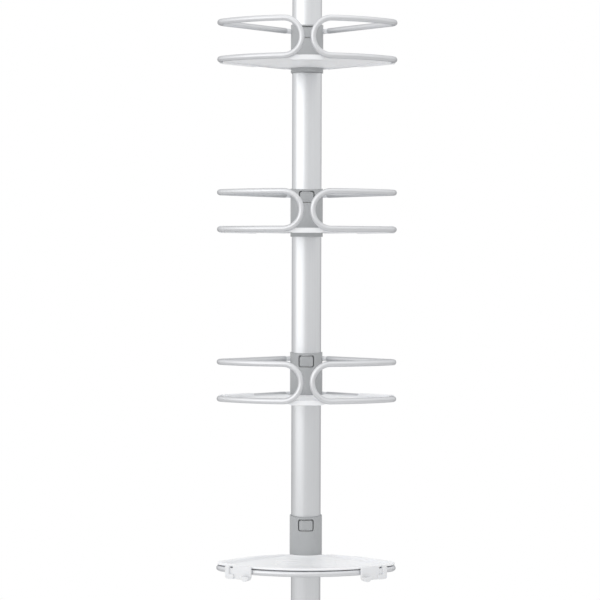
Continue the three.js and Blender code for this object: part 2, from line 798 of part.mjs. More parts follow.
function ceilingCap() {
  const outer = prism(oval(capWidth, capDepth), capBottom, capBottom + capHeight, capEdge);
  return cut(outer, prism(plugOval(seatGap), capBottom - cutOver, capBottom + capHeight - capFloor));
}

function ceilingPad() {
  const bottom = capBottom + capHeight + seatGap;
  const outline = oval(capWidth - 2 * padInset, capDepth - 2 * padInset);
  return prism(outline, bottom, bottom + padThickness, padEdge);
}

function tensionSpring() {
  const geometry = coil(tensionRadius, tensionWire, tensionTurns, springRoom - 2 * seatGap);
  return solid(geometry.translate(0, 0, seatTop + seatGap));
}

unit.add(
  piece("foot_pad", footPad(), "rubber"),
  piece("foot_socket", footSocket(), "collar"),
  piece("lower_pole", ovalTube(poleOval, poleWall, poleStart, poleTop), "pole"),
  piece("lock_collar", collar(lockHeight, [], upperOval), "collar"),
  piece("lock_liner", lockLiner(), "white"),
  piece("upper_pole", ovalTube(upperOval, upperWall, upperBottom, upperTop), "pole"),
  piece("glide_bush", glideBush(), "white"),
  piece("spring_seat", springSeat(), "white"),
  piece("tension_spring", tensionSpring(), "steel"),
  piece("plunger", plunger(), "white"),
  piece("ceiling_cap", ceilingCap(), "collar"),
  piece("ceiling_pad", ceilingPad(), "rubber"),
);
const lockNames = { button: "lock_button", lever: "lock_lever", pin: "lock_pin", spring: "lock_spring" };
unit.add(...gripPieces(lockNames, lockHeight, upperOval));

// Shelves, numbered from the top: three baskets and the flat shelf
const shelfCount = 4;
for (let number = 1; number <= shelfCount; number++) {
  const height = bottomShelfHeight + (shelfCount - number) * shelfSpacing;
  const flat = number === shelfCount;
  const levels = flat ? [0] : [0, ringSpacing];
  const shelf = new THREE.Group();
  const named = (word) => `${word}_${number}`;
  shelf.add(
    piece(named("collar"), collar(height, levels, poleOval), "collar"),
    piece(named("carrier"), carrier(height, levels), "white"),
  );
  const names = {
    button: named("release_button"),
    lever: named("brake_lever"),
    pin: named("lever_pin"),
    spring: named("brake_spring"),
  };
  shelf.add(...gripPieces(names, height, poleOval));
  if (flat) {
    shelf.add(
      piece(named("tray"), flatTray(height), "white"),
      piece("rim_tube", tube(rimRoute(height), tubeRadius, tubeSides, tubeRadius - tubeWall), "tube"),
      piece("hook_clip_left", hookClip(height, -1), "white"),
      piece("hook_clip_right", hookClip(height, 1), "white"),
    );
  } else {
    shelf.add(piece(named("tray"), basketTray(height), "white"));
    for (const [side, word] of [[-1, "left"], [1, "right"]]) {
      const body = tube(guardRoute(side, height), tubeRadius, tubeSides, tubeRadius - tubeWall);
      shelf.add(piece(named(`guard_${word}`), body, "tube"));
    }
  }
  unit.add(shelf);
}

export default unit;
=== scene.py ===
import math
import bpy
import bmesh
from mathutils import Matrix, Vector


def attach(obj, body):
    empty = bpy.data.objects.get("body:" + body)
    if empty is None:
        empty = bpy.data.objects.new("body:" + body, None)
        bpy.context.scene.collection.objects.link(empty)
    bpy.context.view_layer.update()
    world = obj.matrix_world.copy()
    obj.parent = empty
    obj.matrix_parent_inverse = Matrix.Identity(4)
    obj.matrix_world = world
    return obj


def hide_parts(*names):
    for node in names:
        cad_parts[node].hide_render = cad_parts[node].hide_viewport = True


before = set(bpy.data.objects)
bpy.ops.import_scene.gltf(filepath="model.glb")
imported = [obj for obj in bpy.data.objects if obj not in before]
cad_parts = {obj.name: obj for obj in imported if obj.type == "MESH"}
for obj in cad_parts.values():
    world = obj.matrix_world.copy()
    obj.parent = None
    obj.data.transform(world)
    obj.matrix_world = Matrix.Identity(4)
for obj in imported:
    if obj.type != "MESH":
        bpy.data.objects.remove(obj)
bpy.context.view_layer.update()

mm = 0.001  # every size below is in millimetres, the scene is in metres
scene = bpy.context.scene
print("frame loaded:", len(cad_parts), "parts")

# camera, at the photograph's angle
viewer = {
    "distance": 3450, "side": -11.1, "height": 962,  # from the pole's axis and the floor
    "lookDown": 0.92, "roll": 0.15,  # degrees
    "lens": 119.5, "sensor": 36,
}
cameraData = bpy.data.cameras.new("camera")
cameraData.lens = viewer["lens"]
cameraData.sensor_width = viewer["sensor"]
camera = bpy.data.objects.new("camera", cameraData)
scene.collection.objects.link(camera)
camera.matrix_world = (
    Matrix.Translation(Vector((viewer["side"], -viewer["distance"], viewer["height"])) * mm)
    @ Matrix.Rotation(math.radians(90 - viewer["lookDown"]), 4, "X")
    @ Matrix.Rotation(math.radians(viewer["roll"]), 4, "Z")
)
scene.camera = camera


# materials
def hexColor(text):  # sRGB hex to linear
    channels = [int(text[i:i + 2], 16) / 255 for i in (0, 2, 4)]
    linear = [c / 12.92 if c <= 0.04045 else ((c + 0.055) / 1.055) ** 2.4 for c in channels]
    return (*linear, 1.0)


def addNode(tree, kind, inputs=None, **settings):  # inputs hold values or the sockets to link from
    made = tree.nodes.new("ShaderNode" + kind)
    for key, value in settings.items():
        setattr(made, key, value)
    for key, value in (inputs or {}).items():
        if isinstance(value, bpy.types.NodeSocket):
            tree.links.new(value, made.inputs[key])
        else:
            made.inputs[key].default_value = value
    return made


def startFinish(name, shader):
    material = bpy.data.materials.new(name)
    material.use_nodes = True
    tree = material.node_tree
    tree.nodes.clear()
    surface = addNode(tree, "BsdfPrincipled", shader)
    addNode(tree, "OutputMaterial", {"Surface": surface.outputs["BSDF"]})
    return material, tree, surface


def noise(tree, cell, detail, source="Object", roughness=0.5):  # a cloudy pattern, its cell in mm
    coords = addNode(tree, "TexCoord").outputs[source]
    placed = addNode(tree, "Mapping", {"Vector": coords, "Scale": [1 / (size * mm) for size in cell]})
    made = addNode(tree, "TexNoise", {"Vector": placed.outputs["Vector"], "Scale": 1.0, "Detail": detail,
                                      "Roughness": roughness})
    return made.outputs["Fac"]


def remap(tree, value, low, high):
    return addNode(tree, "MapRange", {"Value": value, "To Min": low, "To Max": high}).outputs["Result"]


def tintSurface(tree, surface, amount, look):  # colour drifts between two tones with a pattern
    mix = addNode(tree, "Mix", {0: amount, 6: hexColor(look["dark"]), 7: hexColor(look["light"])},
                  data_type="RGBA")
    tree.links.new(mix.outputs[2], surface.inputs["Base Color"])


def workSurface(tree, surface, fine, cloud, look):  # bump from the fine pattern, gloss from both
    rough = addNode(tree, "Math", {0: remap(tree, fine, -look["roughFine"], look["roughFine"]),
                                   1: remap(tree, cloud, *look["roughness"])}, operation="ADD")
    tree.links.new(rough.outputs["Value"], surface.inputs["Roughness"])
    bump = addNode(tree, "Bump", {"Height": fine, "Strength": look["bump"], "Distance": look["depth"] * mm})
    tree.links.new(bump.outputs["Normal"], surface.inputs["Normal"])


def anodisedAluminium(name, look, source="Object", along=2):
    # Extruded aluminium, etched and anodised: a satin grey metal with faint die lines along its length,
    # and painted shade at its edges: the grazing tint darkens it where it turns away from the eye, standing
    # in for the darker surroundings reflected there
    material, tree, surface = startFinish(name, {"Metallic": 1.0, "Anisotropic": look["anisotropy"],
                                                 "Specular Tint": hexColor(look["grazingShade"])})
    cell = [look["lineSpacing"]] * 3
    cell[along] = look["lineLength"]
    lines = noise(tree, cell, 4.0, source)
    cloud = noise(tree, [look["cloud"]] * 3, 2.0)
    tintSurface(tree, surface, lines, look)
    workSurface(tree, surface, lines, cloud, look)
    return material


# grazingShade is painted shade: a darker tint at grazing angles, standing in for dark surroundings reflected
# at the edges
poleLook = {
    "dark": "d8dadc", "light": "e3e4e6", "grazingShade": "9a9b9d",
    "lineSpacing": 1.1, "lineLength": 260, "depth": 0.02,  # real lines are 0.1 mm apart
    "cloud": 90, "roughness": (0.3, 0.36), "roughFine": 0.02, "bump": 0.25, "anisotropy": 0.3,
}
tubeLook = {
    "dark": "dbdcde", "light": "e6e7e9", "grazingShade": "8e8f92",
    "lineSpacing": 1.0, "lineLength": 120, "depth": 0.015,
    "cloud": 60, "roughness": (0.44, 0.5), "roughFine": 0.03, "bump": 0.3, "anisotropy": 0.2,
}
poleFinish = anodisedAluminium("anodised aluminium extrusion", poleLook)
tubeFinish = anodisedAluminium("anodised aluminium tube drawn and bent", tubeLook, source="UV", along=0)


def mouldedPlastic(name, look):
    # Injection moulded plastic: the tool's fine spark texture breaks the gloss, and flow leaves faint clouds
    shader = {"IOR": look["ior"], "Specular IOR Level": look.get("gloss", 0.5)}
    if "subsurface" in look:
        shader.update({"Subsurface Weight": look["subsurface"], "Subsurface Scale": look["bleed"] * mm,
                       "Subsurface Radius": (1.0, 0.9, 0.8)})
    material, tree, surface = startFinish(name, shader)
    grain = noise(tree, [look["grain"]] * 3, 3.0, roughness=0.6)
    cloud = noise(tree, [look["cloud"]] * 3, 2.0)
    tintSurface(tree, surface, cloud, look)
    workSurface(tree, surface, grain, cloud, look)
    return material


greyLook = {
    "dark": "a9abad", "light": "b1b3b4", "ior": 1.53,
    "grain": 0.7, "depth": 0.03, "cloud": 40,  # real grit is 0.1 mm
    "roughness": (0.5, 0.58), "roughFine": 0.05, "bump": 0.4, "gloss": 0.25,
}
whiteLook = {
    "dark": "ecedef", "light": "f1f2f4", "ior": 1.49, "grain": 1.2, "depth": 0.015, "cloud": 70,
    "roughness": (0.34, 0.42), "roughFine": 0.03, "bump": 0.2, "subsurface": 0.08, "bleed": 1.5,
}
acetalLook = {
    "dark": "e4e4df", "light": "ecece7", "ior": 1.48, "grain": 0.9, "depth": 0.01, "cloud": 25,
    "roughness": (0.28, 0.36), "roughFine": 0.03, "bump": 0.2,
}
clipLook = {
    "dark": "e0e1e3", "light": "e7e8ea", "ior": 1.49, "grain": 0.8, "depth": 0.01, "cloud": 30,
    "roughness": (0.36, 0.44), "roughFine": 0.03, "bump": 0.2, "subsurface": 0.08, "bleed": 1.5, "gloss": 0.4,
}
rubberLook = {
    "dark": "4d5052", "light": "5a5d5f", "ior": 1.52, "grain": 0.8, "depth": 0.06, "cloud": 18,
    "roughness": (0.75, 0.85), "roughFine": 0.05, "bump": 0.6,
}
greyFinish = mouldedPlastic("ABS moulded matt grey", greyLook)
whiteFinish = mouldedPlastic("ABS moulded white satin", whiteLook)
acetalFinish = mouldedPlastic("acetal moulded natural", acetalLook)
clipFinish = mouldedPlastic("polypropylene moulded white", clipLook)
rubberFinish = mouldedPlastic("rubber moulded soft grey", rubberLook)


def drawnSteel(name, look):
    # Steel wire pulled through a die and left bright: long faint scratches and a few duller patches
    material, tree, surface = startFinish(name, {"Metallic": 1.0})
    scratch = noise(tree, [look["scratch"]] * 3, 5.0)
    tintSurface(tree, surface, scratch, look)
    tree.links.new(remap(tree, scratch, *look["roughness"]), surface.inputs["Roughness"])
    return material


steelLook = {"dark": "a7aaad", "light": "c3c6c9", "scratch": 0.6, "roughness": (0.22, 0.4)}
steelFinish = drawnSteel("spring steel drawn bright", steelLook)
print("finishes made")

# mesh tools, all in millimetres
overrun = 2  # cutters stand this far past what they cut
smoothBelow = math.radians(32)  # faces that meet at less are shaded as one surface


def reworked(mesh, change):  # a bmesh operator run on every face
    work = bmesh.new()
    work.from_mesh(mesh)
    change(work, faces=work.faces[:])
    work.to_mesh(mesh)
    work.free()
    return mesh


def loft(rings, ends="caps"):  # rings of equal length joined by quads, capped or closed into a loop
    count, total = len(rings[0]), len(rings)
    points = [Vector(p) * mm for ring in rings for p in ring]
    faces = []
    for r in range(total if ends == "loop" else total - 1):
        a, b = r * count, (r + 1) % total * count
        faces += [(a + i, a + (i + 1) % count, b + (i + 1) % count, b + i) for i in range(count)]
    if ends == "caps":
        faces.append(tuple(range(count))[::-1])
        faces.append(tuple(range(len(points) - count, len(points))))
    mesh = bpy.data.meshes.new("shape")
    mesh.from_pydata(points, [], faces)
    return reworked(mesh, bmesh.ops.recalc_face_normals)


def linked(mesh, name="shape"):
    made = bpy.data.objects.new(name, mesh)
    scene.collection.objects.link(made)
    return made


def baked(made):  # the object's mesh with its modifiers applied, the object removed
    bpy.context.view_layer.update()
    view = bpy.context.evaluated_depsgraph_get()
    mesh = bpy.data.meshes.new_from_object(made.evaluated_get(view))
    bpy.data.objects.remove(made)
    return mesh


def joinCut(base, adds=(), cuts=(), within=()):  # meshes united, then carved, then kept inside others
    target = linked(base)
    tools = []
    for operation, meshes in (("UNION", adds), ("DIFFERENCE", cuts), ("INTERSECT", within)):
        for mesh in meshes:
            tools.append(linked(mesh, "tool"))
            step = target.modifiers.new("step", "BOOLEAN")
            step.operation, step.solver, step.object = operation, "EXACT", tools[-1]
    mesh = baked(target)
    for tool in tools:
        bpy.data.objects.remove(tool)
    return mesh


def softened(mesh, width, segments=2, angle=50):  # sharp edges broken as a mould leaves them
    target = linked(mesh)
    step = target.modifiers.new("edges", "BEVEL")
    step.width, step.segments = width * mm, segments
    step.limit_method, step.angle_limit = "ANGLE", math.radians(angle)
    step.use_clamp_overlap = False
    step.harden_normals = False
    return baked(target)


def put(name, mesh, finish, body, replaced, lift=0.0):  # a finished piece on its body
    mesh = mesh.copy()
    mesh.name = name
    mesh.transform(Matrix.Translation((0, 0, lift * mm)))
    mesh.materials.clear()
    mesh.materials.append(finish)
    reworked(mesh, bmesh.ops.connect_verts_concave)  # no face keeps a hollow outline
    mesh.shade_smooth()
    mesh.set_sharp_from_angle(angle=smoothBelow)
    made = linked(mesh, name)
    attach(made, body)
    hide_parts(*replaced)


def turnsOf(count):  # equal steps round a full turn
    return [2 * math.pi * i / count for i in range(count)]


def ovalRing(width, depth, z, count=72, fall=0.0):  # fall lowers the ring towards the front
    ring = []
    for turn in turnsOf(count):
        x, y = width / 2 * math.cos(turn), depth / 2 * math.sin(turn)
        ring.append((x, y, z - fall * max(0.0, -y) / (depth / 2)))
    return ring


def ovalShell(base, profile, ends="caps"):  # profile of (outward offset, height) round an oval
    return loft([ovalRing(base[0] + 2 * o, base[1] + 2 * o, z) for o, z in profile], ends)


def lowCorner(out, z, edge, edgeIn):  # three points round a lower outer corner, going up
    return [(out - edge, z), (out - edgeIn, z + edgeIn), (out, z + edge)]


def highCorner(out, z, edge, edgeIn):  # the same round an upper one
    return [(out, z - edge), (out - edgeIn, z - edgeIn), (out - edge, z)]


def prism(outline, bottom, top):
    return loft([[(x, y, z) for x, y in outline] for z in (bottom, top)])


def faceOn(outline, height, front, back):  # an outline drawn in X and Z, between two depths
    return loft([[(x, y, height + z) for x, z in outline] for y in (front, back)])


def sideOn(outline, left, right):  # an outline drawn in Y and Z, between two places in X
    return loft([[(x, y, z) for y, z in outline] for x in (left, right)])


def block(x, y, z):
    return prism([(x[0], y[0]), (x[1], y[0]), (x[1], y[1]), (x[0], y[1])], *z)


def arc(cx, cy, radius, start, end, steps):
    turns = [start + (end - start) * i / steps for i in range(steps + 1)]
    return [(cx + radius * math.cos(t), cy + radius * math.sin(t)) for t in turns]


def circle(radius, steps=96):
    return arc(0, 0, radius, 0, 2 * math.pi, steps)[:-1]


def roundedOutline(width, height, radius, steps=6):
    x, y, quarter = width / 2 - radius, height / 2 - radius, math.pi / 2
    corners = [(x, -y, -quarter), (x, y, 0), (-x, y, quarter), (-x, -y, 2 * quarter)]
    return [p for cx, cy, start in corners for p in arc(cx, cy, radius, start, start + quarter, steps)]


def roundedSection(left, right, bottom, top, radius, steps=4):
    outline = roundedOutline(right - left, top - bottom, radius, steps)
    return [((left + right) / 2 + s, (bottom + top) / 2 + u) for s, u in outline]


def eased(share):  # from 0 to 1 with soft ends
    share = min(1, max(0, share))
    return share * share * (3 - 2 * share)


# pole
pole = {
    "width": 51, "depth": 36, "wall": 1.6, "bottom": 13.6, "top": 1560, "edge": 0.3,
    "upperInset": 2.3, "upperWall": 1.5, "upperBottom": 730, "upperTop": 1880,
}
poleOval = (pole["width"], pole["depth"])


def hollowProfile(outer, wall, bottom, top, edge=pole["edge"]):
    inner = outer - wall
    return [
        (outer - edge, bottom), (outer, bottom + edge), (outer, top - edge), (outer - edge, top),
        (inner + edge, top), (inner, top - edge), (inner, bottom + edge), (inner + edge, bottom),
    ]


lowerProfile = hollowProfile(0, pole["wall"], pole["bottom"], pole["top"])
upperProfile = hollowProfile(-pole["upperInset"], pole["upperWall"], pole["upperBottom"], pole["upperTop"])
put("lowerTube", ovalShell(poleOval, lowerProfile, "loop"), poleFinish, "pole_base",
    ["lower_pole"])
put("upperTube", ovalShell(poleOval, upperProfile, "loop"), poleFinish, "upper_section",
    ["upper_pole"])

# foot
footPad = {"out": 11.5, "top": 13, "floor": 7, "rim": 2.6, "edge": 1.5, "edgeIn": 0.4,
           "grooves": (4.0, 6.5, 9.0), "groove": 0.5, "grooveHalf": 0.7, "grooveFloor": 0.3}
out, top, rim = footPad["out"], footPad["top"], footPad["out"] - footPad["rim"]
deep, half, level = out - footPad["groove"], footPad["grooveHalf"], footPad["grooveFloor"]
padProfile = lowCorner(out, 0, footPad["edge"], footPad["edgeIn"])
for z in footPad["grooves"]:  # moulded for grip
    padProfile += [(out, z - half), (deep, z - level), (deep, z + level), (out, z + half)]
padProfile += highCorner(out, top, footPad["edge"], footPad["edgeIn"]) + [(rim, top), (rim, footPad["floor"])]
put("footPad", ovalShell(poleOval, padProfile), rubberFinish, "pole_base", ["foot_pad"])

socket = {
    "flangeOut": 8.6, "flangeBottom": 7.3, "flangeTop": 15.3, "chamfer": 0.8, "shoulder": 1.2,
    "shoulderIn": 0.4, "fillet": ((1.6, 0.3), (0.5, 0.8), (0, 2)),  # (out, up) from the flange's root
    "wallOut": 3.5, "top": 53.3, "rim": 1, "rimIn": 0.3, "mouth": 0.6, "gap": 0.3, "floor": 13.6,
}
flange, wall, gap, chamfer = socket["flangeOut"], socket["wallOut"], socket["gap"], socket["chamfer"]
socketProfile = [(flange - chamfer, socket["flangeBottom"]), (flange, socket["flangeBottom"] + chamfer)]
socketProfile += highCorner(flange, socket["flangeTop"], socket["shoulder"], socket["shoulderIn"])
socketProfile += [(wall + o, socket["flangeTop"] + up) for o, up in socket["fillet"]]
socketProfile += highCorner(wall, socket["top"], socket["rim"], socket["rimIn"])
socketProfile += [(gap + socket["mouth"], socket["top"]), (gap, socket["top"] - socket["mouth"]),
                  (gap, socket["floor"])]
put("footSocket", ovalShell(poleOval, socketProfile), greyFinish, "pole_base",
    ["foot_socket"])

# tension head
plunger = {"inset": 4.1, "bottom": 1835, "top": 1928.7, "edge": 0.5,
           "postRadius": 5, "postBottom": 1823, "postEdge": 0.6, "rootOut": 0.3, "rootDown": 0.2}
plugOval = tuple(size - 2 * plunger["inset"] for size in poleOval)
post, postTip, root = (2 * (plunger["postRadius"] + o) for o in (0, -plunger["postEdge"], plunger["rootOut"]))
plugEdge = [size - 2 * plunger["edge"] for size in plugOval]
plungerRings = [
    ovalRing(postTip, postTip, plunger["postBottom"]),
    ovalRing(post, post, plunger["postBottom"] + plunger["postEdge"]),
    ovalRing(post, post, plunger["bottom"] - plunger["rootDown"]), ovalRing(root, root, plunger["bottom"]),
    ovalRing(*plugEdge, plunger["bottom"]), ovalRing(*plugOval, plunger["bottom"] + plunger["edge"]),
    ovalRing(*plugOval, plunger["top"]),
]
put("plungerPost", loft(plungerRings), acetalFinish, "head", ["plunger"])

cap = {"out": 13.6, "bottom": 1910, "top": 1936, "floor": 7, "edge": 2, "edgeIn": 0.6,
       "mouth": 0.6, "gap": 0.3}
gap, mouth = cap["gap"], cap["mouth"]
capProfile = [(gap, cap["top"] - cap["floor"]), (gap, cap["bottom"] + mouth), (gap + mouth, cap["bottom"])]
capProfile += lowCorner(cap["out"], cap["bottom"], cap["edge"], cap["edgeIn"])
capProfile += highCorner(cap["out"], cap["top"], cap["edge"], cap["edgeIn"])
put("ceilingCap", ovalShell(plugOval, capProfile), greyFinish, "head", ["ceiling_cap"])

topPad = {"out": 11.1, "bottom": 1936.3, "top": 1944.3, "edge": 1.5, "edgeIn": 0.4,
          "groove": ((4, 0), (4.5, 0.6), (5.5, 0.6), (6, 0))}  # groove as (in, down) from the rim
topPadProfile = lowCorner(topPad["out"], topPad["bottom"], topPad["edge"], topPad["edgeIn"])
topPadProfile += highCorner(topPad["out"], topPad["top"], topPad["edge"], topPad["edgeIn"])
topPadProfile += [(topPad["out"] - i, topPad["top"] - down) for i, down in topPad["groove"]]
put("ceilingPad", ovalShell(plugOval, topPadProfile), rubberFinish, "head", ["ceiling_pad"])
print("pole, foot and head made")

# places that the shelves' pieces share
baskets, flatShelf = (1, 2, 3), 4  # numbered from the top
shelfLevels = {1: 1309.1, 2: 1026.4, 3: 743.7, flatShelf: 461.0}
ringSpacing = 61.5
ringLevels = {"basket": (0.0, ringSpacing), "flat": (0.0,)}
legX, legY, legTurn = 28.0, -1.0, math.radians(45)  # the tubes' middle line leaves the collar here
legAhead = Vector((math.sin(legTurn), -math.cos(legTurn), 0))

# collars, buttons and carriers
collar = {
    "radius": 28, "wall": 2.2, "below": 10.2, "above": 73, "fall": 2.6,
    "edge": 0.7, "edgeIn": 0.2, "lead": 0.4,
    "poleGap": 0.3, "holeEdge": 0.5, "windowDeep": 20.4, "sideGap": 1.5, "overGap": 2.1, "underGap": 1.3,
    "cheekDeep": 12, "sides": 96, "soft": 0.2,
}
button = {
    "up": 57.4, "width": 23.4, "tall": 17.3, "back": 23.6,
    "corner": 2.5, "leastCorner": 0.4, "cornerSteps": 8,
    "edge": ((0, 0.5), (0.08, 0.25), (0.25, 0.07), (0.5, 0.0)),  # (inward, below the collar's curve)
    "face": (2.0, 3.5, 5.0, 6.5, 8.0),
}
carrier = {
    "front": 8, "seam": 0.3, "steps": 40, "soft": 0.3,
    "cheekFront": -3, "cheekBack": 15, "cheekHalf": 6, "cheekSteps": 10,
    "stubStart": -2.5, "stubMiddle": 1.5, "stubEnd": 12.4, "stubEdge": 0.5, "stubRadius": 4.4,
    "spigotEnd": 26.7, "spigotLead": 1, "spigotTaper": 0.8, "spigotRadius": 3,
}


def collarMesh(poleInset, levels):
    r, top, fall, below = collar["radius"], collar["above"], collar["fall"], collar["below"]
    lead, count, holeEdge = collar["lead"], collar["sides"], collar["holeEdge"]
    hole = [size - 2 * poleInset + 2 * collar["poleGap"] for size in poleOval]
    inner, ceiling = 2 * (r - collar["wall"]), top - fall - collar["wall"]
    holeFall = fall * hole[1] / (2 * r)
    outside = [(o, z, 0.0) for o, z in lowCorner(r, -below, collar["edge"], collar["edgeIn"])]
    outside += [(o, z, fall) for o, z in highCorner(r, top, collar["edge"], collar["edgeIn"])]
    wide = inner + 2 * lead
    rings = [ovalRing(inner, inner, lead - below, count), ovalRing(wide, wide, -below, count)]
    rings += [ovalRing(2 * o, 2 * o, z, count, drop) for o, z, drop in outside]
    rings += [ovalRing(hole[0] + 2 * holeEdge, hole[1] + 2 * holeEdge, top, count, holeFall),
              ovalRing(*hole, top - holeEdge, count, holeFall),
              ovalRing(*hole, ceiling, count), ovalRing(inner, inner, ceiling, count)]
    gap, over, under = collar["sideGap"], collar["overGap"], collar["underGap"]
    window = roundedOutline(button["width"] + 2 * gap, button["tall"] + over + under, button["corner"] + gap)
    cuts = [faceOn(window, button["up"] + (over - under) / 2, -r - overrun, -collar["windowDeep"])]
    seam = carrier["seam"]
    depths, half = (carrier["cheekFront"] - seam, carrier["cheekBack"] + seam), carrier["cheekHalf"] + seam
    for level in levels:
        for side in (-1, 1):
            xs = sorted((side * collar["cheekDeep"], side * (r + overrun)))
            cuts.append(block(xs, depths, (level - half, level + half)))
    return softened(joinCut(loft(rings, "loop"), cuts=cuts), collar["soft"])


def buttonMesh():
    r, width, tall, corner = collar["radius"], button["width"], button["tall"], button["corner"]

    def ring(inset, sunk):  # sunk is below the collar's own curve
        rounding = max(corner - inset, button["leastCorner"])
        outline = roundedOutline(width - 2 * inset, tall - 2 * inset, rounding, button["cornerSteps"])
        return [(x, -math.sqrt(r * r - x * x) + sunk, button["up"] + z) for x, z in outline]

    back = [(x, -button["back"], z) for x, _, z in ring(0, 0)]
    rings = [ring(*step) for step in button["edge"]] + [ring(inset, 0.0) for inset in button["face"]]
    return loft([back] + rings)


def legPoint(side, run, z):
    at = Vector((legX, legY, 0)) + legAhead * run
    return Vector((side * at.x, at.y, z))


def rodAlong(side, z, stations, sides=28):  # stations of (run along the leg, radius)
    rings = []
    across = Vector((side * math.cos(legTurn), math.sin(legTurn), 0))
    for run, radius in stations:
        middle = legPoint(side, run, z)
        rings.append([middle + across * radius * math.cos(t) + Vector((0, 0, radius * math.sin(t)))
                      for t in turnsOf(sides)])
    return loft(rings)


def carrierMesh(levels):
    c, r, steps = carrier, collar["radius"], carrier["cheekSteps"]
    inner, half = r - collar["wall"] - c["seam"], [size / 2 + collar["poleGap"] for size in poleOval]
    start, low = math.asin(c["front"] / inner), math.asin(c["front"] / half[1])
    outer = arc(0, 0, inner, start, math.pi - start, c["steps"])
    bore = [(half[0] * x, half[1] * y) for x, y in arc(0, 0, 1, math.pi - low, low, c["steps"])]
    top = collar["above"] - collar["fall"] - collar["wall"] - c["seam"]
    ys = [c["cheekFront"] + (c["cheekBack"] - c["cheekFront"]) * i / steps for i in range(steps + 1)]
    stub, spigot, end, tip = c["stubRadius"], c["spigotRadius"], c["stubEnd"], c["spigotEnd"]
    stations = [
        (c["stubStart"], stub), (c["stubMiddle"], stub), (end - c["stubEdge"], stub),
        (end, stub - c["stubEdge"]), (end, spigot), (tip - c["spigotLead"], spigot),
        (tip, spigot - c["spigotTaper"]),
    ]
    adds = []
    for level in levels:
        for side in (-1, 1):
            rim = [(side * math.sqrt(r * r - y * y), y) for y in ys]
            well = [(side * half[0] * math.sqrt(1 - (y / half[1]) ** 2), y) for y in ys]
            cheek = prism(rim + well[::-1], level - c["cheekHalf"], level + c["cheekHalf"])
            adds += [softened(cheek, c["soft"]), rodAlong(side, level, stations)]
    clear = ovalRing(pole["width"] + collar["poleGap"], pole["depth"] + collar["poleGap"], 0)
    # the stubs end at the pole
    bored = prism([(x, y) for x, y, _ in clear], -collar["below"] - overrun, top + overrun)
    return joinCut(softened(prism(outer + bore, -collar["below"], top), c["soft"]), adds=adds, cuts=[bored])


collarMeshes = {kind: collarMesh(0, levels) for kind, levels in ringLevels.items()}
carrierMeshes = {kind: carrierMesh(levels) for kind, levels in ringLevels.items()}
buttonShape = buttonMesh()
for number, level in shelfLevels.items():
    kind = "flat" if number == flatShelf else "basket"
    body = f"shelf_{number}"
    put(f"collar{number}", collarMeshes[kind], greyFinish, body, [f"collar_{number}"], level)
    put(f"carrier{number}", carrierMeshes[kind], whiteFinish, body,
        [f"carrier_{number}"], level)
    put(f"button{number}", buttonShape, greyFinish, f"button_{number}",
        [f"release_button_{number}"], level)
lockLevel = 1550
lockShape = collarMesh(pole["upperInset"], ())
put("lockCollar", lockShape, greyFinish, "pole_base", ["lock_collar"], lockLevel)
put("lockButton", buttonShape, greyFinish, "lock_button", ["lock_button"], lockLevel)
print("collars, buttons and carriers made")

# tubes of the shelves
bar = {
    "radius": 4.75, "bore": 3.75, "sides": 24, "front": 198, "tip": 20, "start": 12.7, "bendStart": 39.8,
    "tipSteps": 12, "frontSteps": 18, "bendSteps": 28, "rimSteps": 36, "edge": 0.3, "boreDepth": 10,
    "girth": 30,  # about the way round, for the finish
}
legNormal = Vector((math.cos(legTurn), math.sin(legTurn)))
legOffset = legNormal.dot(Vector((legX, legY)))
tipInset = legOffset - bar["tip"]
tipRun = math.sqrt((bar["front"] - bar["tip"]) ** 2 - tipInset ** 2)
tipCentre = legNormal * tipInset + legAhead.xy * tipRun
tipFrom = math.atan2(legNormal.y, legNormal.x)
tipTo = math.atan2(tipCentre.y, tipCentre.x)
forward = -math.pi / 2
bendTurn = math.asin(bar["bendStart"] / bar["front"])
bendRadius = ringSpacing / 2


def levelRun(side, z, frontEnd, frontSteps):  # leg, tip and front arc at one height
    start = legPoint(1, bar["start"], 0)
    plan = [(start.x, start.y)] + arc(tipCentre.x, tipCentre.y, bar["tip"], tipFrom, tipTo, bar["tipSteps"])
    plan += arc(0, 0, bar["front"], tipTo, frontEnd, frontSteps)[1:]
    return [Vector((side * x, y, z)) for x, y in plan]


def guardPath(side):
    lower, upper = (levelRun(side, z, forward + bendTurn, bar["frontSteps"]) for z in (0, ringSpacing))
    bend = []
    for i in range(1, bar["bendSteps"]):
        turn = math.pi * i / bar["bendSteps"]
        place = forward + bendTurn - bendRadius * math.sin(turn) / bar["front"]
        bend.append(Vector((side * bar["front"] * math.cos(place), bar["front"] * math.sin(place),
                            bendRadius * (1 - math.cos(turn)))))
    return lower + bend + upper[::-1]


def rimPath():
    right, left = (levelRun(side, 0, forward, bar["rimSteps"]) for side in (1, -1))
    return right + left[::-1][1:]


def addLengthMap(mesh, path, count):  # UV in metres: along the path, and round the section
    lengths = [0.0]
    for a, b in zip(path, path[1:]):
        lengths.append(lengths[-1] + (b - a).length * mm)
    layer = mesh.uv_layers.new(name="length")
    for face in mesh.polygons:
        for loop in face.loop_indices:
            ring, spot = divmod(mesh.loops[loop].vertex_index, count)
            layer.data[loop].uv = (lengths[min(ring, len(lengths) - 1)], spot / count * bar["girth"] * mm)
    return mesh


